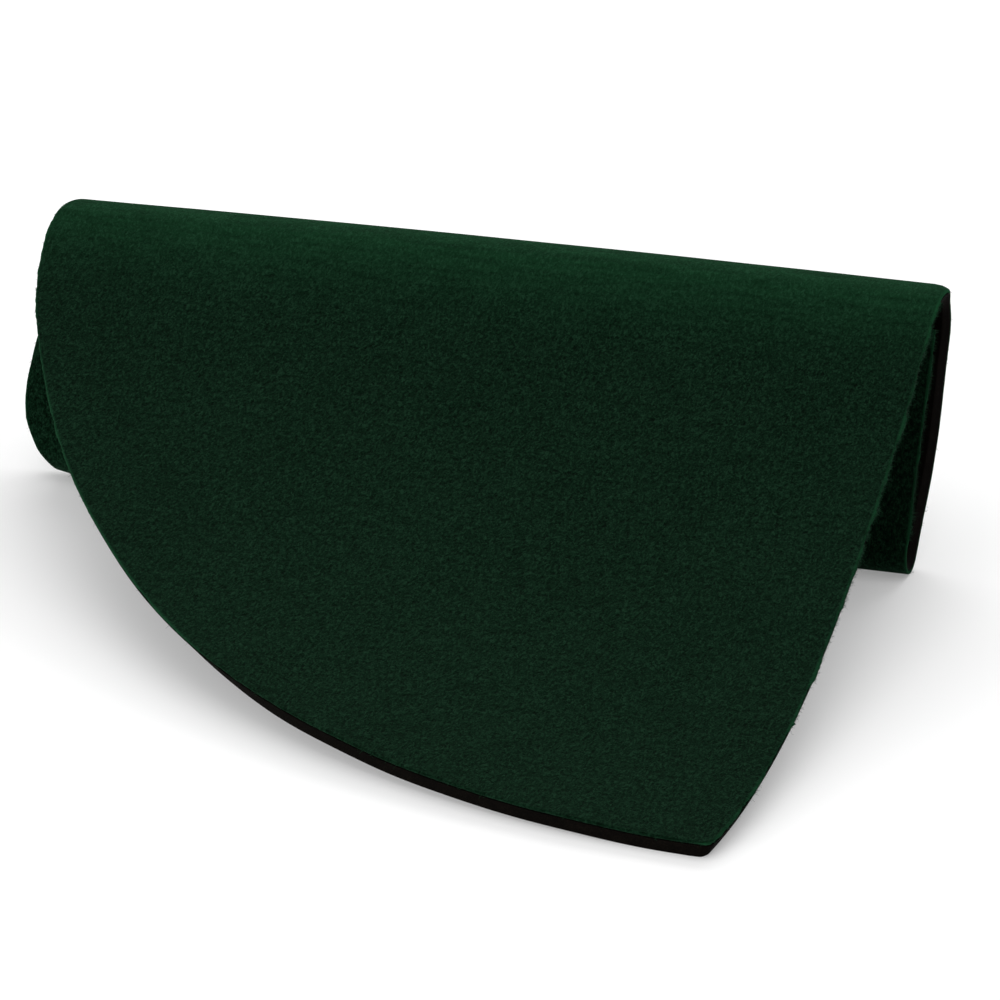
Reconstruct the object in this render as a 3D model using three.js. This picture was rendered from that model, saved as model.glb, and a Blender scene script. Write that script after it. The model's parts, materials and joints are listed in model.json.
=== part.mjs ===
// A soft casino table top: one sheet of green felt bonded to black foam, with a quarter-round
// end. It is rolled over itself at two folds, felt outside, and stands on its lower fold and
// on its front corner, so that the front panel slopes down like one side of a low tent.
//
// X runs along the folds, Y from the front corner to the back, Z up. The origin is under the
// middle of the object, on the surface that it stands on.
//
// The sheet is soft and bends along its whole length. Here it is cut across into flat strips,
// and each strip hinges to the next one along a line in the felt's outer surface, because the
// felt hardly stretches while the foam gives. A strip is two solids: its felt and its foam.

import * as THREE from 'three';

// Driving dimensions, in millimetres and degrees.
const sheetWidth = 457; // along the folds
const endRadius = 457; // of the quarter-round end, centred on the straight cut edge
const feltThickness = 1.7;
const bondGap = 0.3; // the adhesive film between the felt and the foam
const foamThickness = 6;
const edgeUndercut = 3; // how far the foam's lower side stands back from the straight cut edge
const cornerInset = 15; // how far the straight edge runs in at the front corner
const cornerFade = 60; // the length over which it runs in

const frontLength = 391; // from the front corner to the top fold
const cornerSlope = 6.5; // the front panel's slope at its corner
const shoulderSlope = 27.7; // and just below the top fold
const topFoldRadius = 20.6; // to the felt's outer surface
const backSlope = 54.8; // the back panel's lean from the horizontal
const bottomFoldRadius = 12;
const packetAngle = 6.3; // between the back panel and the inner panel
const innerLength = 94; // from the bottom fold to the inner panel's cut end

const frontStrips = 4;
const foldHinges = 4; // in each of the two folds
const stripGap = 0.3; // between the cut ends of neighbouring strips
const closingSlack = 0.6; // wedge angle on each cut end in a fold, so that it can close further
const outlineStep = 10; // the longest straight piece of a curved edge
const insetReach = 5 * cornerFade; // past this, the straight edge no longer bends

// Values worked out from the driving dimensions.
const sheetThickness = feltThickness + bondGap + foamThickness;
const foamTop = feltThickness + bondGap;
const halfWidth = sheetWidth / 2;
const tipAngle = Math.asin(cornerInset / endRadius);
const radians = THREE.MathUtils.degToRad;

const felt = new THREE.MeshStandardMaterial({ color: 0x0e2116, roughness: 1, metalness: 0 });
const foam = new THREE.MeshStandardMaterial({ color: 0x0c0b0a, roughness: 0.95, metalness: 0 });

// The strips in order from the front corner to the inner panel's cut end. A strip's heading is
// the direction in which the sheet runs, in the YZ plane, counted from +Y towards +Z.
function listStrips(backLength) {
  const strips = [];
  const slopeStep = (shoulderSlope - cornerSlope) / frontStrips;
  for (let i = 0; i < frontStrips; i++) {
    const heading = cornerSlope + slopeStep * (i + 0.5);
    strips.push({ name: `front_strip_${i + 1}`, length: frontLength / frontStrips, heading });
  }
  addFold(strips, 'top_fold', topFoldRadius, 'back_panel', backLength, backSlope - 180);
  const innerHeading = backSlope - 360 + packetAngle;
  addFold(strips, 'bottom_fold', bottomFoldRadius, 'inner_panel', innerLength, innerHeading);
  return strips;
}

// A fold has equal turns at its hinges. Half a hinge step at each end of it belongs to the
// panels that it joins.
function addFold(strips, foldName, radius, nextName, nextLength, nextHeading) {
  const last = strips[strips.length - 1];
  const turn = nextHeading - last.heading;
  const step = (radius * radians(Math.abs(turn))) / foldHinges;
  const startHeading = last.heading;
  last.length += step / 2;
  for (let i = 1; i < foldHinges; i++) {
    const heading = startHeading + (turn * i) / foldHinges;
    strips.push({ name: `${foldName}_${i}`, length: step, heading });
  }
  strips.push({ name: nextName, length: nextLength + step / 2, heading: nextHeading });
}

// Gives each strip its first point on the felt's outer surface and its distance along the sheet.
function layOut(strips) {
  let y = 0;
  let z = 0;
  let along = 0;
  for (const strip of strips) {
    Object.assign(strip, { y, z, along });
    y += strip.length * Math.cos(radians(strip.heading));
    z += strip.length * Math.sin(radians(strip.heading));
    along += strip.length;
  }
  return strips;
}

// The back panel is as long as it must be for the bottom fold and the front corner's foam to
// rest on one level surface.
function findBackLength() {
  const strips = layOut(listStrips(0));
  const behindFront = strips.slice(frontStrips);
  const lowestOfFold = Math.min(...behindFront.map((strip) => strip.z));
  const lowestOfCorner = -sheetThickness * Math.cos(radians(strips[0].heading));
  return (lowestOfFold - lowestOfCorner) / Math.sin(radians(backSlope));
}

// The sheet's outline when it is flat: x of its straight cut edge and of its round edge, at a
// distance along the sheet from the front corner.
function straightEdge(along) {
  const inset = along < insetReach ? cornerInset * Math.exp(-along / cornerFade) : 0;
  return halfWidth - inset;
}

function roundEdge(along) {
  if (along >= endRadius) {
    return -halfWidth;
  }
  return halfWidth - Math.sqrt(endRadius ** 2 - (endRadius - along) ** 2);
}

function roundAngle(along) {
  return Math.acos(Math.max(0, 1 - along / endRadius));
}

// A strip's outline in its own x and y, with y from 0 at its first end.
function stripOutline(strip) {
  const isCorner = strip.along === 0;
  const firstAngle = isCorner ? tipAngle : roundAngle(strip.along);
  const lastAngle = roundAngle(strip.along + strip.length);
  const arcSteps = Math.ceil((endRadius * (lastAngle - firstAngle)) / outlineStep);
  const edgeSteps = strip.along < insetReach ? Math.ceil(strip.length / outlineStep) : 1;
  const points = [];
  for (let i = isCorner ? 1 : 0; i <= edgeSteps; i++) {
    const y = (strip.length * i) / edgeSteps;
    points.push(new THREE.Vector2(straightEdge(strip.along + y), y));
  }
  points.push(new THREE.Vector2(roundEdge(strip.along + strip.length), strip.length));
  for (let i = arcSteps - 1; i >= 1; i--) {
    const angle = firstAngle + ((lastAngle - firstAngle) * i) / arcSteps;
    const y = endRadius * (1 - Math.cos(angle)) - strip.along;
    points.push(new THREE.Vector2(halfWidth - endRadius * Math.sin(angle), y));
  }
  const start = isCorner ? endRadius * (1 - Math.cos(tipAngle)) : strip.along;
  points.push(new THREE.Vector2(roundEdge(start), start - strip.along));
  return new THREE.Shape(points);
}

// The slope of a strip's cut end. In a fold the ends are mitred, so that they open as the
// sheet is laid flat. Elsewhere they are square, because they close as it is laid flat.
function mitre(strip, neighbour) {
  const turn = Math.abs(strip.heading - neighbour.heading);
  const bendsAwayFromFelt = Math.sign(neighbour.heading - strip.heading) !==
    Math.sign(neighbour.along - strip.along);
  return bendsAwayFromFelt ? Math.tan(radians(turn / 2 + closingSlack)) : 0;
}

// One layer of a strip, between two depths below the felt's outer surface.
function layerGeometry(strips, index, top, bottom, undercut) {
  const strip = strips[index];
  const shape = stripOutline(strip);
  const geometry = new THREE.ExtrudeGeometry(shape, { depth: bottom - top, bevelEnabled: false });
  geometry.translate(0, 0, -bottom);
  const before = strips[index - 1];
  const after = strips[index + 1];
  const position = geometry.attributes.position;
  for (let i = 0; i < position.count; i++) {
    const depth = -position.getZ(i);
    const onStraightEdge = position.getX(i) > halfWidth - cornerInset - 0.01;
    if (onStraightEdge) {
      position.setX(i, position.getX(i) - (undercut * (depth - top)) / (bottom - top));
    }
    if (before) {
      const lowest = stripGap / 2 + depth * mitre(strip, before);
      position.setY(i, Math.max(position.getY(i), lowest));
    }
    if (after) {
      const highest = strip.length - stripGap / 2 - depth * mitre(strip, after);
      position.setY(i, Math.min(position.getY(i), highest));
    }
  }
  geometry.computeVertexNormals();
  return geometry;
}

function layerMesh(name, geometry, material) {
  const mesh = new THREE.Mesh(geometry, material);
  mesh.name = name;
  return mesh;
}

const tableTop = new THREE.Group();
const strips = layOut(listStrips(findBackLength()));
strips.forEach((strip, index) => {
  const place = new THREE.Group();
  place.position.set(0, strip.y, strip.z);
  place.rotation.x = radians(strip.heading);
  const feltLayer = layerGeometry(strips, index, 0, feltThickness, 0);
  const foamLayer = layerGeometry(strips, index, foamTop, sheetThickness, edgeUndercut);
  place.add(layerMesh(`${strip.name}_felt`, feltLayer, felt));
  place.add(layerMesh(`${strip.name}_foam`, foamLayer, foam));
  tableTop.add(place);
});

const box = new THREE.Box3().setFromObject(tableTop, true);
const middle = box.getCenter(new THREE.Vector3());
tableTop.position.set(-middle.x, -middle.y, -box.min.z);

export default tableTop;
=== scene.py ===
"""Looks of the soft table top: one felt sheet on one foam sheet, rolled over itself at two folds.

The CAD frame cuts the sheet into flat strips with a hinge between each two. Here the sheet is
smooth. Each piece of felt or foam runs from the middle of one strip to the middle of the next,
across the hinge between them, so that together they look like one sheet.

Lengths are in metres. A place on the flat sheet is (x, s): x runs along the folds, and s runs
from the front corner up the front panel, over the top fold, down the back panel, round the
bottom fold and up the inner panel. Depth is measured inwards from the felt's outer surface.
"""

import json
import math

import bmesh
import bpy
import numpy as np
from mathutils import Matrix, Vector

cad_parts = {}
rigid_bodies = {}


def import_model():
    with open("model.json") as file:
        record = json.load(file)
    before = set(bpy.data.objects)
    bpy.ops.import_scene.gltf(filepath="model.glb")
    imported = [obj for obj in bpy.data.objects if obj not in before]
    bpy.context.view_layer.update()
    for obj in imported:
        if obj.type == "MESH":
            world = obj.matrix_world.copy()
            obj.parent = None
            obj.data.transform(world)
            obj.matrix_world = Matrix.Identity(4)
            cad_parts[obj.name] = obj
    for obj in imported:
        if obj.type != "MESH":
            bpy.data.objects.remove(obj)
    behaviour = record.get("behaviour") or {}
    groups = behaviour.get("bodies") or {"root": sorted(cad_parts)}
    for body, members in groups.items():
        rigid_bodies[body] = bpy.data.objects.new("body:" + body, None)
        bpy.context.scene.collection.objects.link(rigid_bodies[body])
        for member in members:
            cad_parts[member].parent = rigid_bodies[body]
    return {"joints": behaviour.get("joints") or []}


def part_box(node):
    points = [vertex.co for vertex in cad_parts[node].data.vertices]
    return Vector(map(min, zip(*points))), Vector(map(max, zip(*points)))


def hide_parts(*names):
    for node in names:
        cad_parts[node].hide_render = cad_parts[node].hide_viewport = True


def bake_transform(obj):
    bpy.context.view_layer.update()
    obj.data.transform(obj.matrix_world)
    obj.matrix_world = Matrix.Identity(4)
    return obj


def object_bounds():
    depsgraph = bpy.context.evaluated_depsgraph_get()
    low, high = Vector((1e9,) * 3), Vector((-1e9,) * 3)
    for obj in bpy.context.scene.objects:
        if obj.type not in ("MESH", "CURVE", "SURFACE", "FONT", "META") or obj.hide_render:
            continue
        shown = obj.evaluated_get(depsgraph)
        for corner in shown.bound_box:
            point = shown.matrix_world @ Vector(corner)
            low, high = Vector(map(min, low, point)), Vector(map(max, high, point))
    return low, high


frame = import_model()
cad_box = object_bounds()
MM = 0.001

# The laminate, as in the CAD part.
FELT_THICKNESS = 1.7 * MM
FOAM_TOP = 2.0 * MM
SHEET_THICKNESS = 8.0 * MM
EDGE_UNDERCUT = 3.0 * MM
CORNER_INSET = 15.0 * MM
CORNER_FADE = 60.0 * MM

# How the cut sheet differs from an exact one.
FELT_EDGE_RADIUS = 0.7 * MM
FOAM_EDGE_RADIUS = 0.25 * MM
TIP_RADIUS = 4.0 * MM  # of the front corner
INNER_OVERRUN = 12.0 * MM  # the soft inner end reaches past the rigid strip that stands for it
# (degrees round the end from the front corner, half width in degrees, how far it stands out)
OUTLINE_BULGES = ((75.0, 6.5, 4.2 * MM), (52.0, 8.0, -1.5 * MM), (96.0, 8.0, -2.5 * MM))
# the round edge pulls in at each fold and at the inner end: how far, and its reach along s
TOP_DRAW_IN, TOP_DRAW_REACH = 14.0 * MM, 20.5 * MM
BOTTOM_DRAW_IN, BOTTOM_DRAW_REACH = 18.0 * MM, 24.0 * MM
INNER_DRAW_IN, INNER_DRAW_REACH = 14.0 * MM, 40.0 * MM
# the straight edge bulges at the middle of the back panel, and just before the top fold's middle
BACK_BULGE, BACK_BULGE_REACH = 2.4 * MM, 42.0 * MM
TOP_BULGE, TOP_BULGE_REACH, TOP_BULGE_BEFORE = 2.4 * MM, 14.0 * MM, 13.0 * MM

# The foam's lower side stands back from the round edge. In front the cut is nearly square, and
# between two angles round the end, in degrees from the front corner, it comes to its full depth.
ROUND_UNDERCUT = 4.4 * MM
ROUND_UNDERCUT_FROM = 28.0
ROUND_UNDERCUT_FULL = 44.0
SQUARE_CUT_SHARE = 0.08
UNDERCUT_FADE = 4.0  # times its own depth: how far in from the edge an undercut fades out

# How the sheet stands off its exact surface.
RIPPLE = 0.175 * MM
# (radians a metre along x, the same along s, phase, share of the ripple)
RIPPLE_WAVES = (
    (61.0, 23.0, 0.4, 1.0),
    (37.0, -41.0, 2.1, 0.8),
    (17.0, 71.0, 4.0, 0.6),
    (-83.0, 47.0, 1.3, 0.45),
    (101.0, 12.0, 5.2, 0.35),
)
RIPPLE_FADE = 50.0 * MM  # the ripple fades over this length of the front panel, to this share
RIPPLE_BEHIND = 0.15
CREST_LIFT = 0.9 * MM  # how far the top fold stands above the hinges' circle, and how much more
CREST_ARCH = 2.4 * MM  # it arches up towards its middle
CREST_REACH = 45.0 * MM
ARCH_MIDDLE = 55.0 * MM
ARCH_HALF_WIDTH = 290.0 * MM
# how far the sheet's end curls inwards over a fold, how far that reaches across and along it
TOP_CURL = (3.6 * MM, 7.0 * MM, 14.0 * MM)  # at the straight edge
BOTTOM_CURL = (3.6 * MM, 36.0 * MM, 22.0 * MM)  # at the round edge

# The felt's uneven cut, at two scales.
RAGGED = 0.36 * MM
RAGGED_STEP = 1.6 * MM
WAVY = 0.45 * MM
WAVY_STEP = 9.0 * MM
ROUND_RAGGED = 0.4  # the round edge was cut cleaner
CLEAN_CUT = 0.1  # and so were the folds and the back panel
NARROW = 16.0 * MM  # where the sheet is narrower than this, in its corner, the cut is less uneven
EDGE_SEED = 41

# Loose fibres along the cut edges, in tufts. A share is a part of TUFTS_PER_METRE.
ROUND, STRAIGHT, INNER_END = "round", "straight", "inner end"
TUFTS_PER_METRE = 2600
TUFT_MOST = 6
TUFT_SPREAD = 0.45 * MM
TUFT_LEAN = 0.6  # radians along the edge
ROUND_SHARE = 0.06
INNER_END_SHARE = 0.3
TRIMMED_SHARE = 0.03
CORNER_SHARE = 0.25
FULL_FUZZ_FROM = 200.0 * MM  # along the front panel
FIBRE_LENGTH = 1.6 * MM
FIBRE_RADIUS = 0.07 * MM
FIBRE_ROOT = 0.4 * MM
FIBRE_STEPS = 5
FIBRE_SIDES = 3
FIBRE_CURL = 0.55
FIBRE_SEED = 300

# The felt's colour has a painted highlight near a fuzzy cut edge and another over the top fold.
HIGHLIGHT_RIM_WIDTH = 2.5 * MM
CREST_HIGHLIGHT_REACH = 42.0 * MM

# Mesh density.
EDGE_LEVELS = np.array([0.0, 0.07, 0.2, 0.4, 0.7, 1.2, 2.2, 4.0]) * MM
COLUMN_STEP = 4.0 * MM
FRONT_ROW_STEP = 1.4 * MM
PANEL_ROW_STEP = 3.5 * MM
FOLD_ROW_STEP = 0.75 * MM
ARC_ROW_STEP = math.radians(0.5)
SEAM_CLEARANCE = 0.2 * MM  # between a seam and the nearest other row
ROUNDING = 0.001 * MM  # more than the rows are rounded by
WALL_LEVELS = (0.25, 0.5, 0.75)
TRACE_STEP = 0.1 * MM
WELD = 0.002 * MM  # points that are closer than this become one
SHARP_EDGE = math.radians(50)  # faces that meet at more than this aren't shaded as one surface

# A fold is a run of hinges that each turn by more than SHARP_TURN, and by the same angle.
SHARP_TURN = math.radians(20)
SAME_TURN = math.radians(2)


# ---------------------------------------------------------------- camera

AZIMUTH = math.radians(17.74)
ELEVATION = math.radians(22.90)
ROLL = math.radians(-0.68)
DISTANCE = 2.8815
TARGET = Vector((0.0, 0.0, 0.090))
AIM_RIGHT = 0.0565
AIM_UP = -0.0248
LENS = 221.3


def make_camera():
    back = Vector((
        math.sin(AZIMUTH) * math.cos(ELEVATION),
        -math.cos(AZIMUTH) * math.cos(ELEVATION),
        math.sin(ELEVATION),
    ))
    level = Vector((math.cos(AZIMUTH), math.sin(AZIMUTH), 0.0))
    upright = back.cross(level)
    right = level * math.cos(ROLL) + upright * math.sin(ROLL)
    up = upright * math.cos(ROLL) - level * math.sin(ROLL)
    location = TARGET + back * DISTANCE
    aim = TARGET + right * AIM_RIGHT + up * AIM_UP
    forward = (aim - location).normalized()
    side = forward.cross(up).normalized()
    top = side.cross(forward)
    camera = bpy.data.objects.new("camera", bpy.data.cameras.new("camera"))
    camera.data.lens = LENS
    camera.data.sensor_width = 36.0
    camera.data.clip_start = 0.1
    camera.data.clip_end = 30.0
    turn = Matrix((side, top, -forward)).transposed()
    camera.matrix_world = Matrix.Translation(location) @ turn.to_4x4()
    bpy.context.scene.collection.objects.link(camera)
    bpy.context.scene.camera = camera


make_camera()


# ---------------------------------------------------------------- the section that the sheet follows

joints = frame["joints"]
strips = [joints[0]["parent"]] + [joint["child"] for joint in joints]
hinges = np.array([joint["pos_m"][1:] for joint in joints])


def strip_headings():
    """The direction of each strip in the YZ plane, from +Y towards +Z. The two end strips turn
    from their neighbours as much as the next pair do."""
    steps = np.diff(hinges, axis=0)
    inner = np.unwrap(np.arctan2(steps[:, 1], steps[:, 0]))
    first = 2 * inner[0] - inner[1]
    last = 2 * inner[-1] - inner[-2]
    return np.concatenate([[first], inner, [last]])


headings = strip_headings()
turns = np.diff(headings)
lengths = np.linalg.norm(np.diff(hinges, axis=0), axis=1)

corner_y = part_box(f"{strips[0]}_felt")[0].y
first_length = (hinges[0][0] - corner_y) / math.cos(headings[0])
corner = hinges[0] - first_length * np.array([math.cos(headings[0]), math.sin(headings[0])])
end_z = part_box(f"{strips[-1]}_felt")[1].z
last_length = (end_z - hinges[-1][1]) / math.sin(headings[-1])
last_length += INNER_OVERRUN
lengths = np.concatenate([[first_length], lengths, [last_length]])
hinge_s = np.cumsum(lengths)[:-1]
SHEET_LENGTH = float(lengths.sum())


class Fold:
    """A run of hinges with equal sharp turns, and the arc that the sheet makes there."""

    def __init__(self, hinge_numbers):
        self.hinges = hinge_numbers
        first = hinge_numbers[0]
        self.step = float(lengths[first + 1])
        self.start = float(hinge_s[first]) - self.step / 2
        self.end = float(hinge_s[hinge_numbers[-1]]) + self.step / 2
        self.middle = (self.start + self.end) / 2
        # the middle strip's outer face touches the circle that the hinges lie around
        second = first + 1
        touching = (hinges[second] + hinges[second + 1]) / 2
        reach = self.step / 2 / math.tan(float(abs(turns[first])) / 2)
        heading = headings[second + 1]
        outwards = np.array([-math.sin(heading), math.cos(heading)])
        self.centre = touching - reach * outwards


def find_folds():
    runs = []
    for i, turn in enumerate(turns):
        if abs(turn) < SHARP_TURN:
            continue
        if runs and runs[-1][-1] == i - 1 and abs(turn - turns[i - 1]) < SAME_TURN:
            runs[-1].append(i)
        else:
            runs.append([i])
    return [Fold(run) for run in runs]


top_fold, bottom_fold = find_folds()


def trace_section():
    """Points of the felt's outer surface and their headings, one for each TRACE_STEP of s."""
    last_front = top_fold.hinges[0]
    half_turn = turns[0] / 2
    keys = [
        (0.0, headings[0] - half_turn),
        (top_fold.start, headings[last_front] + half_turn),
        (top_fold.end, headings[bottom_fold.hinges[0]]),
        (bottom_fold.start, headings[bottom_fold.hinges[0]]),
        (bottom_fold.end, headings[-1]),
        (SHEET_LENGTH, headings[-1]),
    ]
    s = np.arange(0.0, SHEET_LENGTH + TRACE_STEP, TRACE_STEP)
    heading = np.interp(s, [k[0] for k in keys], [k[1] for k in keys])
    middle = (heading[1:] + heading[:-1]) / 2
    moves = np.column_stack([np.cos(middle), np.sin(middle)]) * TRACE_STEP
    points = corner + np.vstack([[0.0, 0.0], np.cumsum(moves, axis=0)])

    # each fold is moved onto the circle that its hinges lie around, by about a millimetre
    shifts = []
    for fold in (top_fold, bottom_fold):
        i = int(fold.middle / TRACE_STEP)
        arc = abs(np.interp(fold.end, s, heading) - np.interp(fold.start, s, heading))
        radius = (fold.end - fold.start) / arc
        outwards = np.array([-math.sin(heading[i]), math.cos(heading[i])])
        shifts.append(fold.centre + radius * outwards - points[i])
    anchors = [0.0, top_fold.start, top_fold.end, bottom_fold.start, SHEET_LENGTH]
    steps = [np.zeros(2), shifts[0], shifts[0], shifts[1], shifts[1]]
    for axis in (0, 1):
        points[:, axis] += np.interp(s, anchors, [step[axis] for step in steps])
    return s, points, heading


trace_s, trace_points, trace_heading = trace_section()


def bell(distance, reach):
    """1 at no distance, falling smoothly to 0.37 at the reach."""
    return np.exp(-(distance / reach) ** 2)


def eased(t):
    """From 0 to 1 with no slope at either end."""
    return t * t * (3 - 2 * t)


def curled(distance, along, curl):
    """How far a fold's end curls inwards, at a distance from the cut edge and from the crest."""
    size, across_reach, along_reach = curl
    return size * bell(along, along_reach) * np.clip(1 - distance / across_reach, 0.0, 1.0) ** 2


def lift(x, s):
    """How far the sheet stands off its exact surface, the same for both layers."""
    waves = sum(share * np.sin(kx * x + ks * s + phase) for kx, ks, phase, share in RIPPLE_WAVES)
    fade = np.clip((top_fold.start - s) / RIPPLE_FADE, RIPPLE_BEHIND, 1.0)
    arch = CREST_LIFT + CREST_ARCH * (1 - ((x - ARCH_MIDDLE) / ARCH_HALF_WIDTH) ** 2)
    crest = arch * bell(s - top_fold.middle, CREST_REACH)
    curl = curled(straight_edge(s) - x, s - top_fold.middle, TOP_CURL)
    curl = curl + curled(x - round_edge(s), s - bottom_fold.middle, BOTTOM_CURL)
    return RIPPLE * waves * fade + crest - curl


def place(x, s, depth):
    """Points in space of places on the sheet, at a depth below the felt's outer surface."""
    y = np.interp(s, trace_s, trace_points[:, 0])
    z = np.interp(s, trace_s, trace_points[:, 1])
    heading = np.interp(s, trace_s, trace_heading)
    off = lift(x, s) - depth
    return np.stack([x, y - off * np.sin(heading), z + off * np.cos(heading)], axis=-1)


# ---------------------------------------------------------------- the flat sheet's outline

HALF_WIDTH = (cad_box[1].x - cad_box[0].x) / 2
END_RADIUS = 2 * HALF_WIDTH
tip_angle = math.asin((CORNER_INSET + TIP_RADIUS) / END_RADIUS)
TIP_S = END_RADIUS * (1 - math.cos(tip_angle))
back_middle = (top_fold.end + bottom_fold.start) / 2


def straight_edge(s):
    """x of the straight cut edge at a row."""
    inset = CORNER_INSET * np.exp(-s / CORNER_FADE) + rounded(s - TIP_S, TIP_RADIUS)
    bulge = BACK_BULGE * bell(s - back_middle, BACK_BULGE_REACH)
    bulge = bulge + TOP_BULGE * bell(s - top_fold.middle + TOP_BULGE_BEFORE, TOP_BULGE_REACH)
    return HALF_WIDTH - inset + bulge


def rounded(distance, radius):
    """How far a rounding of this radius lies inside a corner, at a distance from the corner."""
    short = np.clip(radius - distance, 0.0, radius)
    return radius - np.sqrt(np.maximum(radius ** 2 - short ** 2, 0.0))


def draw_in(s):
    """The sheet's round edge pulls in where it turns over a fold, and at its inner end."""
    return (
        TOP_DRAW_IN * bell(s - top_fold.middle, TOP_DRAW_REACH)
        + BOTTOM_DRAW_IN * bell(s - bottom_fold.middle, BOTTOM_DRAW_REACH)
        + INNER_DRAW_IN * bell(SHEET_LENGTH - s, INNER_DRAW_REACH)
    )


def end_angle(s):
    """Degrees round the end from the front corner: 90 where the straight part starts."""
    return np.degrees(np.arccos(np.clip(1 - s / END_RADIUS, 0.0, 1.0)))


def end_reach(s):
    """The round end's radius at a row: it bulges a little off its circle."""
    bulges = [size * bell(end_angle(s) - at, wide) for at, wide, size in OUTLINE_BULGES]
    return END_RADIUS + sum(bulges)


def round_edge(s, inset=0.0):
    """x of the line that lies inset inside the round edge."""
    reach = (end_reach(s) - inset) ** 2 - np.maximum(END_RADIUS - s, 0.0) ** 2
    x = HALF_WIDTH - np.sqrt(np.maximum(reach, 0.0))
    return x + draw_in(s)


def round_distance(x, s):
    """Distance from the round edge, as in round_edge."""
    across = HALF_WIDTH + draw_in(s) - x
    return end_reach(s) - np.hypot(across, np.maximum(END_RADIUS - s, 0.0))


def nearest_edge(to_round, x, s):
    """The shortest of the distances from the sheet's three cut edges."""
    return np.minimum(np.minimum(to_round, straight_edge(s) - x), SHEET_LENGTH - s)


def edge_distance(x, s):
    """Distance from the nearest cut edge of the sheet."""
    return np.maximum(nearest_edge(round_distance(x, s), x, s), 0.0)


def past_front(s):
    """0 along the front of the round edge, where the cut is square, and 1 further round."""
    span = ROUND_UNDERCUT_FULL - ROUND_UNDERCUT_FROM
    return eased(np.clip((end_angle(s) - ROUND_UNDERCUT_FROM) / span, 0.0, 1.0))


def round_undercut(s):
    """How far the foam's lower side stands back from the round edge."""
    return ROUND_UNDERCUT * (SQUARE_CUT_SHARE + (1 - SQUARE_CUT_SHARE) * past_front(s))


def highlight_rim_distance(x, s):
    """Distance from the nearest cut edge that carries the painted highlight of its fuzz. The front
    of the round edge carries none.
    """
    to_round = round_distance(x, s) + HIGHLIGHT_RIM_WIDTH * (1 - past_front(s))
    return nearest_edge(to_round, x, s)


def stations(seams):
    """All row positions along the sheet, with the seams among them."""
    arc_end = math.acos(1 - top_fold.start / END_RADIUS)
    count = int((arc_end - tip_angle) / ARC_ROW_STEP)
    angles = np.linspace(tip_angle, arc_end, count)
    coarse = END_RADIUS * (1 - np.cos(angles))
    rows = []
    for start, end in zip(coarse[:-1], coarse[1:]):
        parts = max(1, math.ceil((end - start) / FRONT_ROW_STEP))
        rows.extend(np.linspace(start, end, parts + 1)[:-1])
    spans = [
        (top_fold.start, top_fold.end, FOLD_ROW_STEP),
        (top_fold.end, bottom_fold.start, PANEL_ROW_STEP),
        (bottom_fold.start, bottom_fold.end, FOLD_ROW_STEP),
        (bottom_fold.end, SHEET_LENGTH - EDGE_LEVELS[-1], PANEL_ROW_STEP),
    ]
    for start, end, step in spans:
        rows.extend(np.linspace(start, end, max(2, round((end - start) / step))))
    rows.extend(SHEET_LENGTH - EDGE_LEVELS)
    rows = [r for r in rows if min(abs(r - seam) for seam in seams) > SEAM_CLEARANCE]
    return np.unique(np.round(np.array(rows + list(seams)), 7))


def columns(s):
    """x of each column of a row: close together at the two cut edges, even between them."""
    right = float(straight_edge(s))
    left = float(round_edge(s))
    meet = right - min(EDGE_LEVELS[-1], (right - left) / 2)
    at_left = np.minimum(round_edge(s, EDGE_LEVELS), meet)
    at_right = np.maximum(right - EDGE_LEVELS[::-1], meet)
    count = int(2 * HALF_WIDTH / COLUMN_STEP)
    between = np.linspace(at_left[-1], at_right[0], count)[1:-1]
    return np.concatenate([at_left, between, at_right])


# for the straight edge and then the round one: a wavy line, and three ragged ones at three depths
edge_draw = np.random.default_rng(EDGE_SEED).normal(0.0, 1.0, (2, 4, 2000))


def smooth_line(values, at):
    """A smooth curve through random values, one for each whole number."""
    i = int(at)
    t = eased(at - i)
    return values[i] * (1 - t) + values[i + 1] * t


def roughness(s):
    """How rough the cut is: over the folds and on the back panel it was trimmed clean."""
    return CLEAN_CUT if top_fold.start < s < bottom_fold.end else 1.0


def ragged(s, depth, side):
    """How far the felt's uneven cut stands off its line, in or out."""
    wavy, *lines = edge_draw[side]
    level = np.clip(depth / FELT_THICKNESS * 2, 0.0, 2.0)
    uneven = [smooth_line(line, s / RAGGED_STEP) for line in lines]
    fine = np.interp(level, [0.0, 1.0, 2.0], uneven)
    return roughness(s) * (RAGGED * fine + WAVY * smooth_line(wavy, s / WAVY_STEP))


# ---------------------------------------------------------------- the meshes of felt and foam

def ring_of_row(s, top, bottom, radius):
    """A closed ring of (x, s, depth) at a row: over the top from the round edge to the straight
    one, down the straight cut face, back along the bottom and up the round cut face."""
    x = columns(s)
    span = np.full_like(x, s)
    drop = rounded(edge_distance(x, span), radius)
    upper = np.column_stack([x, span, top + drop])
    lower = np.column_stack([x, span, bottom - drop])
    levels = np.array(WALL_LEVELS)
    straight_wall = np.column_stack([
        np.full(len(levels), x[-1]),
        np.full(len(levels), s),
        top + radius + levels * (bottom - top - 2 * radius),
    ])
    round_wall = straight_wall[::-1].copy()
    round_wall[:, 0] = x[0]
    return np.vstack([upper, straight_wall, lower[::-1], round_wall])


def near_edges(ring, round_reach, straight_reach):
    """1 at the round edge and 0 from round_reach inwards, and the same for the straight edge."""
    x = ring[:, 0]
    near_round = np.clip(1 - (x - x.min()) / round_reach, 0, 1)
    near_straight = np.clip(1 - (x.max() - x) / straight_reach, 0, 1)
    return near_round, near_straight


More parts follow.
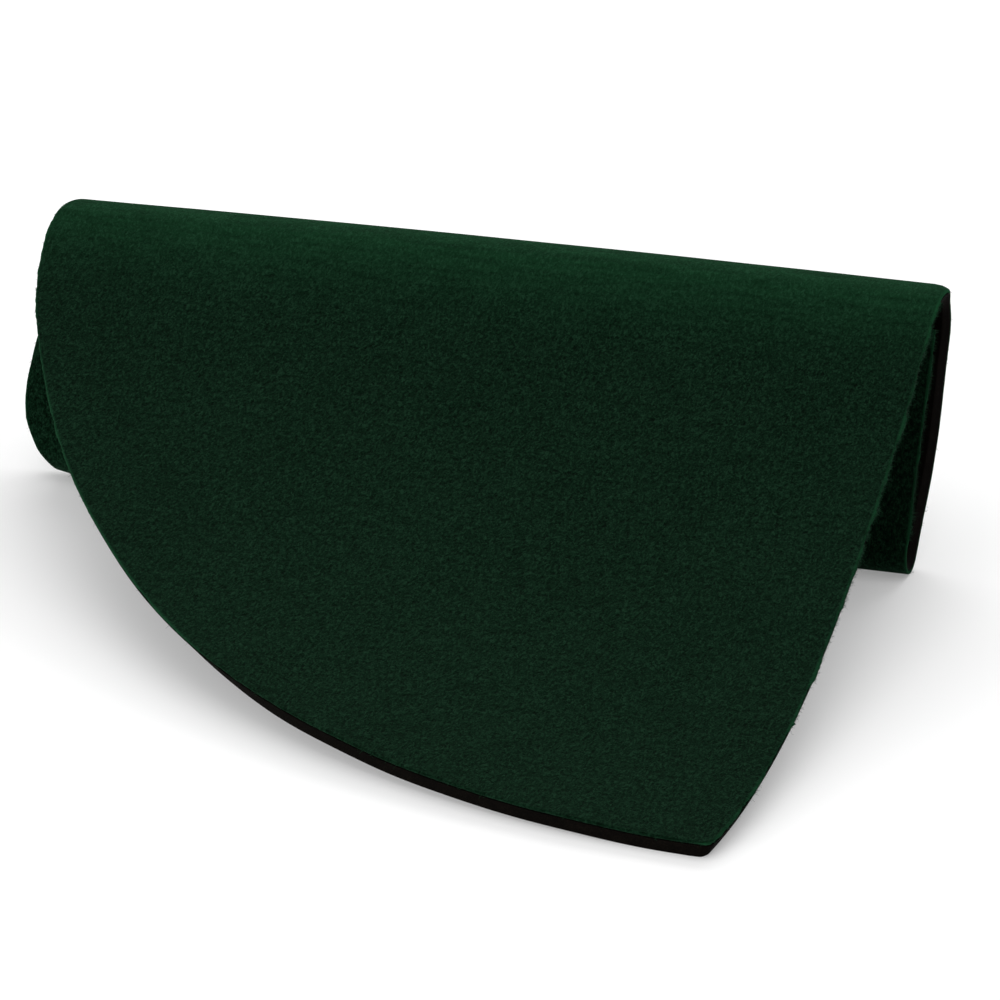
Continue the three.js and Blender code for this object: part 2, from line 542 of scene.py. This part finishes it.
def undercut_foam(ring, s):
    """Sets the foam's cut faces back towards its lower side, square to each edge."""
    share = (ring[:, 2] - FOAM_TOP) / (SHEET_THICKNESS - FOAM_TOP)
    back = float(round_undercut(s))
    near_round, near_straight = near_edges(ring, UNDERCUT_FADE * back, UNDERCUT_FADE * EDGE_UNDERCUT)
    angle = math.radians(float(end_angle(s)))
    ring[:, 0] += share * near_round * back * math.sin(angle)
    ring[:, 1] += share * near_round * back * math.cos(angle)
    ring[:, 0] -= share * near_straight * EDGE_UNDERCUT


def roughen_felt(ring, s):
    """Makes the felt's cut edges uneven, and less so in the narrow front corner."""
    width = ring[:, 0].max() - ring[:, 0].min()
    reach = min(EDGE_LEVELS[-1], width / 2)
    near_round, near_straight = near_edges(ring, reach, reach)
    strength = min(1.0, width / NARROW)
    ring[:, 0] += strength * near_straight * ragged(s, ring[:, 2], 0)
    ring[:, 0] -= strength * near_round * ROUND_RAGGED * ragged(s, ring[:, 2], 1)


def felt_rings(rows):
    """The rings of a piece of felt."""
    rings = [ring_of_row(s, 0.0, FELT_THICKNESS, FELT_EDGE_RADIUS) for s in rows]
    for ring, s in zip(rings, rows):
        roughen_felt(ring, s)
    return np.array(rings)


def foam_rings(rows):
    """The rings of a piece of foam."""
    rings = [ring_of_row(s, FOAM_TOP, SHEET_THICKNESS, FOAM_EDGE_RADIUS) for s in rows]
    for ring, s in zip(rings, rows):
        undercut_foam(ring, s)
    return np.array(rings)


def side_faces(row_count, ring_size):
    """The faces between neighbouring rings."""
    faces = []
    for here in range(0, (row_count - 1) * ring_size, ring_size):
        there = here + ring_size
        for i in range(ring_size):
            j = (i + 1) % ring_size
            faces.append((here + i, here + j, there + j, there + i))
    return faces


def end_faces(base, ring_size, turned):
    """The cut across the sheet, from one column to the next. The first and the last face take
    in the points of the cut edges' walls."""
    wall = len(WALL_LEVELS)
    across = (ring_size - 2 * wall) // 2
    faces = []
    for i in range(across - 1):
        cell = [i, i + 1]
        if i == across - 2:
            cell += [across + k for k in range(wall)]
        cell += [2 * across + wall - 2 - i, 2 * across + wall - 1 - i]
        if i == 0:
            cell += [2 * across + wall + k for k in range(wall)]
        cell = [base + k for k in cell]
        faces.append(cell[::-1] if turned else cell)
    return faces


def sheet_mesh(name, flat, faces):
    """A mesh from places on the flat sheet, which it also keeps as an attribute."""
    mesh = bpy.data.meshes.new(name)
    points = place(flat[:, 0], flat[:, 1], flat[:, 2])
    mesh.from_pydata(points.tolist(), [], faces)
    on_sheet = mesh.attributes.new("flat", "FLOAT_VECTOR", "POINT")
    on_sheet.data.foreach_set("vector", flat.astype(np.float32).ravel())
    return mesh


def add_values(mesh, name, values):
    attribute = mesh.attributes.new(name, "FLOAT", "POINT")
    attribute.data.foreach_set("value", values.astype(np.float32))


def clean(mesh):
    """Welds the points that coincide where the sheet narrows to its corner."""
    work = bmesh.new()
    work.from_mesh(mesh)
    bmesh.ops.remove_doubles(work, verts=work.verts, dist=WELD)
    bmesh.ops.dissolve_degenerate(work, edges=work.edges, dist=WELD / 2)
    bmesh.ops.recalc_face_normals(work, faces=work.faces)
    work.to_mesh(mesh)
    work.free()


def add_object(name, mesh):
    obj = bpy.data.objects.new(name, mesh)
    bpy.context.scene.collection.objects.link(obj)
    return obj


def build_layer(name, rings):
    """A closed piece of felt or foam from its rings, with a flat cut at each end."""
    row_count, ring_size, _ = rings.shape
    flat = rings.reshape(-1, 3)
    faces = side_faces(row_count, ring_size)
    faces += end_faces(0, ring_size, True)
    faces += end_faces((row_count - 1) * ring_size, ring_size, False)
    mesh = sheet_mesh(name, flat, faces)
    # how strongly the painted highlight over the top fold shows
    add_values(mesh, "crest_highlight", bell(flat[:, 1] - top_fold.middle, CREST_HIGHLIGHT_REACH))
    # distance from the cut edges that carry a painted highlight
    add_values(mesh, "rim_highlight", highlight_rim_distance(flat[:, 0], flat[:, 1]))
    clean(mesh)
    mesh.shade_smooth()
    mesh.set_sharp_from_angle(angle=SHARP_EDGE)
    return add_object(name, mesh)


# ---------------------------------------------------------------- loose fibres

def fibre_share(edge, s):
    """How fuzzy the cut is: the straight edge keeps the most, but where it was trimmed."""
    if edge == ROUND:
        return ROUND_SHARE
    if edge == INNER_END:
        return INNER_END_SHARE
    if top_fold.start < s < bottom_fold.end:
        return TRIMMED_SHARE
    return CORNER_SHARE + (1 - CORNER_SHARE) * min(1.0, (s / FULL_FUZZ_FROM) ** 2)


def fibre_spots(rows, draw):
    """Where tufts of loose fibres leave a piece's cut edges, as (edge, place along it). Each
    piece has one tuft at least."""
    spots = [(STRAIGHT, (rows[0] + rows[-1]) / 2)]
    for s0, s1 in zip(rows[:-1], rows[1:]):
        arc = math.hypot(s1 - s0, float(round_edge(s1) - round_edge(s0)))
        for edge, run in ((ROUND, arc), (STRAIGHT, s1 - s0)):
            for _ in range(draw.poisson(run * TUFTS_PER_METRE * fibre_share(edge, s0))):
                spots.append((edge, draw.uniform(s0, s1)))
    if rows[-1] > SHEET_LENGTH - MM:
        run = float(straight_edge(SHEET_LENGTH) - round_edge(SHEET_LENGTH))
        for _ in range(draw.poisson(run * TUFTS_PER_METRE * fibre_share(INNER_END, rows[-1]))):
            spots.append((INNER_END, draw.uniform(0, 1)))
    return spots


def fibre_root(edge, at):
    """A fibre's root as (x, s), and the direction out of the sheet there."""
    if edge == INNER_END:
        left = float(round_edge(SHEET_LENGTH))
        right = float(straight_edge(SHEET_LENGTH))
        return np.array([left + at * (right - left), SHEET_LENGTH]), np.array([0.0, 1.0])
    if edge == STRAIGHT:
        wavy = roughness(at) * WAVY * smooth_line(edge_draw[0][0], at / WAVY_STEP)
        return np.array([float(straight_edge(at)) + wavy, at]), np.array([1.0, 0.0])
    root = np.array([float(round_edge(at)), at])
    outward = np.array([root[0] - HALF_WIDTH, min(at - END_RADIUS, 0.0)])
    return root, outward / np.linalg.norm(outward)


def fibre_path(draw, root, outward, tuft_lean, length):
    """A curling fibre, as points (x, s, depth) from just inside the mat outwards."""
    along = np.array([-outward[1], outward[0]])
    depth = draw.uniform(0.05, 0.9) * FELT_THICKNESS
    lean = tuft_lean + draw.normal(0.0, 0.5)
    rise = draw.normal(0.1, 0.45)
    if bottom_fold.start < root[1] < bottom_fold.end:
        rise = -abs(rise)  # the felt rests on the floor here
    path = [[*(root - FIBRE_ROOT * outward), depth]]
    for _ in range(FIBRE_STEPS):
        lean += draw.normal(0.0, FIBRE_CURL)
        rise += draw.normal(0.0, FIBRE_CURL / 2)
        step = length / FIBRE_STEPS
        root = root + step * (math.cos(lean) * outward + math.sin(lean) * along)
        depth -= step * math.sin(rise)
        path.append([*root, depth])
    return np.array(path)


def fibre_skin(path, outward, radius):
    """Points of a thin tapered rod round a path, a ring of FIBRE_SIDES for each of its points."""
    along = np.array([-outward[1], outward[0]])
    points = []
    for i, (x, s, depth) in enumerate(path):
        taper = radius * (1 - 0.7 * i / FIBRE_STEPS)
        for k in range(FIBRE_SIDES):
            turn = 2 * math.pi * k / FIBRE_SIDES
            aside = taper * math.cos(turn) * along
            points.append((x + aside[0], s + aside[1], depth + taper * math.sin(turn)))
    return points


def fibre_faces(base):
    """The faces of a rod whose points start at number base, with a cap at each end."""
    faces = []
    for ring in range(base, base + FIBRE_SIDES * FIBRE_STEPS, FIBRE_SIDES):
        for k in range(FIBRE_SIDES):
            a = ring + k
            b = ring + (k + 1) % FIBRE_SIDES
            faces.append((b, a, a + FIBRE_SIDES, b + FIBRE_SIDES))
    tip = base + FIBRE_SIDES * FIBRE_STEPS
    faces.append(tuple(range(base, base + FIBRE_SIDES)))
    faces.append(tuple(reversed(range(tip, tip + FIBRE_SIDES))))
    return faces


def fibre_mesh(name, rows, seed):
    """Loose fibres that stand out of a piece's felt along its cut edges."""
    draw = np.random.default_rng(seed)
    first_s, last_s = rows[0], rows[-1]
    flat, faces = [], []
    for edge, at in fibre_spots(rows, draw):
        tuft_lean = draw.normal(0.0, TUFT_LEAN)
        size = FIBRE_LENGTH * draw.lognormal(0.0, 0.3)
        for _ in range(draw.integers(1, TUFT_MOST)):
            root_at = at
            if edge != INNER_END:
                root_at = float(np.clip(at + draw.normal(0.0, TUFT_SPREAD), first_s, last_s))
            root, outward = fibre_root(edge, root_at)
            path = fibre_path(draw, root, outward, tuft_lean, size * draw.uniform(0.5, 1.2))
            if edge != INNER_END:
                path[:, 1] = np.clip(path[:, 1], first_s, last_s)
            radius = FIBRE_RADIUS * draw.uniform(0.7, 1.3)
            faces += fibre_faces(len(flat))
            flat += fibre_skin(path, outward, radius)
    mesh = sheet_mesh(name, np.array(flat), faces)
    mesh.shade_smooth()
    return add_object(name, mesh)


# ---------------------------------------------------------------- materials

def new_material(name):
    material = bpy.data.materials.new(name)
    material.use_nodes = True
    nodes = material.node_tree.nodes
    shader = nodes["Principled BSDF"]
    return material, nodes, material.node_tree.links, shader


def sheet_place(nodes, links, stretch):
    """Flat-sheet coordinates, in metres, stretched to make the pattern longer along x or s."""
    source = nodes.new("ShaderNodeAttribute")
    source.attribute_name = "flat"
    mapping = nodes.new("ShaderNodeMapping")
    mapping.inputs["Scale"].default_value = stretch
    links.new(source.outputs["Vector"], mapping.inputs["Vector"])
    return mapping.outputs["Vector"]


def noise(nodes, links, place_on, scale, detail=3.0, rough=0.6, distortion=0.0):
    node = nodes.new("ShaderNodeTexNoise")
    node.inputs["Scale"].default_value = scale
    node.inputs["Detail"].default_value = detail
    node.inputs["Roughness"].default_value = rough
    node.inputs["Distortion"].default_value = distortion
    links.new(place_on, node.inputs["Vector"])
    return node.outputs["Fac"]


def weighted(nodes, links, parts):
    """The sum of (socket, weight) parts."""
    total = None
    for socket, weight in parts:
        node = nodes.new("ShaderNodeMath")
        node.operation = "MULTIPLY_ADD"
        node.inputs[1].default_value = weight
        links.new(socket, node.inputs[0])
        if total is None:
            node.inputs[2].default_value = 0.0
        else:
            links.new(total, node.inputs[2])
        total = node.outputs[0]
    return total


def ramp(nodes, links, value, stops):
    node = nodes.new("ShaderNodeValToRGB")
    elements = node.color_ramp.elements
    while len(elements) < len(stops):
        elements.new(0.5)
    for element, (position, colour) in zip(elements, stops):
        element.position = position
        element.color = (*colour, 1.0)
    links.new(value, node.inputs["Fac"])
    return node.outputs["Color"]


def remap(nodes, links, value, low, high, out_low, out_high):
    node = nodes.new("ShaderNodeMapRange")
    node.inputs["From Min"].default_value = low
    node.inputs["From Max"].default_value = high
    node.inputs["To Min"].default_value = out_low
    node.inputs["To Max"].default_value = out_high
    links.new(value, node.inputs["Value"])
    return node.outputs["Result"]


def mixed(nodes, links, factor, a, b, blend_type="MIX"):
    node = nodes.new("ShaderNodeMix")
    node.data_type = "RGBA"
    node.blend_type = blend_type
    links.new(factor, node.inputs["Factor"])
    sockets = [i for i in node.inputs if i.type == "RGBA"]
    for value, socket in zip((a, b), sockets):
        if isinstance(value, tuple):
            socket.default_value = (*value, 1.0)
        else:
            links.new(value, socket)
    return [o for o in node.outputs if o.type == "RGBA"][0]


def bump(nodes, links, shader, height, strength, distance):
    node = nodes.new("ShaderNodeBump")
    node.inputs["Strength"].default_value = strength
    node.inputs["Distance"].default_value = distance
    links.new(height, node.inputs["Height"])
    links.new(node.outputs["Normal"], shader.inputs["Normal"])


def felt_material():
    """Needle felt: matted fibres in small clumps. The tone follows the bump, so the pits between the
    clumps are darker: partly the felt's own uneven tone, partly painted shade.
    """
    material, nodes, links, shader = new_material("green_felt")
    across = sheet_place(nodes, links, (0.12, 1.0, 1.0))
    even = sheet_place(nodes, links, (1.0, 0.65, 1.0))
    streaks = noise(nodes, links, across, 260.0, 2.0, 0.6)
    knots = noise(nodes, links, even, 380.0, 2.0, 0.6, 0.8)
    clumps = noise(nodes, links, even, 760.0, 2.0, 0.6, 1.0)
    grain = noise(nodes, links, even, 1250.0, 2.0, 0.6, 1.0)
    patches = noise(nodes, links, even, 90.0, 3.0, 0.55)
    clouds = noise(nodes, links, even, 11.0, 2.0, 0.5)
    # partly painted shade: this tone shares its noises with the bump, so the low pits come out
    # darker
    tone = weighted(nodes, links, [
        (streaks, 0.06), (knots, 0.18), (clumps, 0.37), (grain, 0.33),
        (patches, 0.03), (clouds, 0.03),
    ])
    colour = ramp(nodes, links, tone, [
        (0.395, (0.0001, 0.0011, 0.0003)),
        (0.500, (0.0014, 0.0079, 0.0033)),
        (0.605, (0.0063, 0.0232, 0.0115)),
    ])
    # a painted highlight along the fuzzy cut edges, where loose fibres catch the light
    rim_highlight_source = nodes.new("ShaderNodeAttribute")
    rim_highlight_source.attribute_name = "rim_highlight"
    # millimetres from the edge, made uneven by the grain
    ragged_rim_highlight = weighted(nodes, links, [(rim_highlight_source.outputs["Fac"], 1 / MM), (grain, 1.6)])
    rim_highlight = remap(nodes, links, ragged_rim_highlight, 0.85, 2.0, 0.8, 0.0)
    colour = mixed(nodes, links, rim_highlight, colour, (0.0062, 0.0370, 0.0150))
    crest_highlight = nodes.new("ShaderNodeAttribute")
    crest_highlight.attribute_name = "crest_highlight"
    # a painted highlight over the top fold, stronger in some streaks than in others
    crest_highlight_colour = ramp(nodes, links, streaks, [
        (0.36, (0.0026, 0.0164, 0.0060)),
        (0.64, (0.0042, 0.0256, 0.0095)),
    ])
    colour = mixed(nodes, links, crest_highlight.outputs["Fac"], colour, crest_highlight_colour, "ADD")
    links.new(colour, shader.inputs["Base Color"])
    height = weighted(nodes, links, [
        (knots, 0.30), (clumps, 0.45), (grain, 0.25),
    ])
    bump(nodes, links, shader, height, 1.0, 0.0016)
    shader.inputs["Roughness"].default_value = 1.0
    shader.inputs["Specular IOR Level"].default_value = 0.01
    shader.inputs["Sheen Weight"].default_value = 0.05
    shader.inputs["Sheen Roughness"].default_value = 0.45
    shader.inputs["Sheen Tint"].default_value = (0.30, 0.75, 0.45, 1.0)
    return material


def fibre_material():
    """Single felt fibres, which catch more light than the mat below them."""
    material, nodes, links, shader = new_material("green_fibres")
    even = sheet_place(nodes, links, (1.0, 1.0, 1.0))
    tone = noise(nodes, links, even, 900.0, 2.0, 0.5)
    colour = ramp(nodes, links, tone, [
        (0.35, (0.0035, 0.0210, 0.0090)),
        (0.65, (0.0095, 0.0500, 0.0220)),
    ])
    links.new(colour, shader.inputs["Base Color"])
    shader.inputs["Roughness"].default_value = 0.8
    shader.inputs["Specular IOR Level"].default_value = 0.1
    return material


def foam_material():
    """Black closed-cell foam, brownish where the cut opens its cells."""
    material, nodes, links, shader = new_material("black_foam")
    even = sheet_place(nodes, links, (1.0, 1.0, 1.0))
    cells = nodes.new("ShaderNodeTexVoronoi")
    cells.inputs["Scale"].default_value = 1900.0
    links.new(even, cells.inputs["Vector"])
    grain = noise(nodes, links, even, 1300.0, 3.0, 0.65)
    patches = noise(nodes, links, even, 140.0, 2.0, 0.5)
    tone = weighted(nodes, links, [
        (cells.outputs["Distance"], 0.35), (grain, 0.45), (patches, 0.20),
    ])
    colour = ramp(nodes, links, tone, [
        (0.30, (0.0005, 0.0004, 0.0003)),
        (0.50, (0.0017, 0.0013, 0.0010)),
        (0.70, (0.0050, 0.0038, 0.0027)),
    ])
    links.new(colour, shader.inputs["Base Color"])
    height = weighted(nodes, links, [(cells.outputs["Distance"], 0.6), (grain, 0.4)])
    bump(nodes, links, shader, height, 0.6, 0.0005)
    rough = remap(nodes, links, grain, 0.3, 0.7, 0.75, 0.98)
    links.new(rough, shader.inputs["Roughness"])
    shader.inputs["Specular IOR Level"].default_value = 0.02
    return material


felt = felt_material()
fibre = fibre_material()
foam = foam_material()


# ---------------------------------------------------------------- the sheet, one piece a hinge

def strip_middles():
    """Where each strip's middle is along the sheet. These are the seams between pieces."""
    starts = np.concatenate([[0.0], hinge_s])
    middles = starts + lengths / 2
    # the strips beside a fold are measured without the half step that belongs to the fold
    for fold in (top_fold, bottom_fold):
        before, after = fold.hinges[0], fold.hinges[-1] + 1
        middles[before] -= fold.step / 4
        middles[after] += fold.step / 4
    return middles


middles = strip_middles()
seams = [TIP_S, *[float(m) for m in middles[1:-1]], SHEET_LENGTH]
all_rows = stations(seams)

for number, joint in enumerate(joints):
    start, end = seams[number], seams[number + 1]
    rows = all_rows[(all_rows >= start - ROUNDING) & (all_rows <= end + ROUNDING)]
    stands_for = [strips[number]]
    if number == len(joints) - 1:
        stands_for.append(strips[-1])
    felt_piece = build_layer(f"felt_{number + 1:02d}", felt_rings(rows))
    foam_piece = build_layer(f"foam_{number + 1:02d}", foam_rings(rows))
    fibre_piece = fibre_mesh(f"felt_fibres_{number + 1:02d}", rows, FIBRE_SEED + number)
    layers = (
        (felt_piece, felt, FELT_THICKNESS, "felt"),
        (fibre_piece, fibre, FELT_THICKNESS, "felt"),
        (foam_piece, foam, SHEET_THICKNESS, "foam"),
    )
    for piece, material, depth, slot in layers:
        piece.data.materials.append(material)
        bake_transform(piece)
    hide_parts(*[f"{name}_felt" for name in stands_for])
    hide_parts(*[f"{name}_foam" for name in stands_for])


# ---------------------------------------------------------------- floor and light

def make_floor():
    mesh = bpy.data.meshes.new("floor")
    half = 6.0
    mesh.from_pydata(
        [(-half, -half, 0), (half, -half, 0), (half, half, 0), (-half, half, 0)],
        [], [(0, 1, 2, 3)])
    material, _, _, shader = new_material("pale_floor")
    shader.inputs["Base Color"].default_value = (0.72, 0.72, 0.72, 1.0)
    shader.inputs["Emission Color"].default_value = (1.0, 1.0, 1.0, 1.0)
    shader.inputs["Emission Strength"].default_value = 0.25
    shader.inputs["Roughness"].default_value = 0.9
    shader.inputs["Specular IOR Level"].default_value = 0.1
    mesh.materials.append(material)
    add_object("floor", mesh)


def area_light(name, location, target, size, power):
    data = bpy.data.lights.new(name, "AREA")
    data.shape = "RECTANGLE"
    data.size, data.size_y = size
    data.energy = power
    light = bpy.data.objects.new(name, data)
    light.location = location
    light.rotation_mode = "QUATERNION"
    direction = Vector(target) - Vector(location)
    light.rotation_quaternion = direction.to_track_quat("-Z", "Y")
    bpy.context.scene.collection.objects.link(light)


def make_light():
    world = bpy.data.worlds.new("studio")
    world.use_nodes = True
    background = world.node_tree.nodes["Background"]
    background.inputs["Color"].default_value = (1.0, 1.0, 1.0, 1.0)
    background.inputs["Strength"].default_value = 0.55
    bpy.context.scene.world = world
    area_light("back_light", (-0.2, 2.2, 1.5), (0.0, 0.0, 0.1), (3.0, 1.2), 45.0)
    area_light("top_light", (0.1, 0.2, 2.4), (0.0, 0.0, 0.0), (2.4, 2.4), 18.0)
    area_light("front_light", (-0.8, -2.5, 0.45), (0.0, 0.0, 0.05), (2.4, 0.9), 54.0)


make_floor()
make_light()
bpy.context.scene.view_settings.view_transform = "Standard"
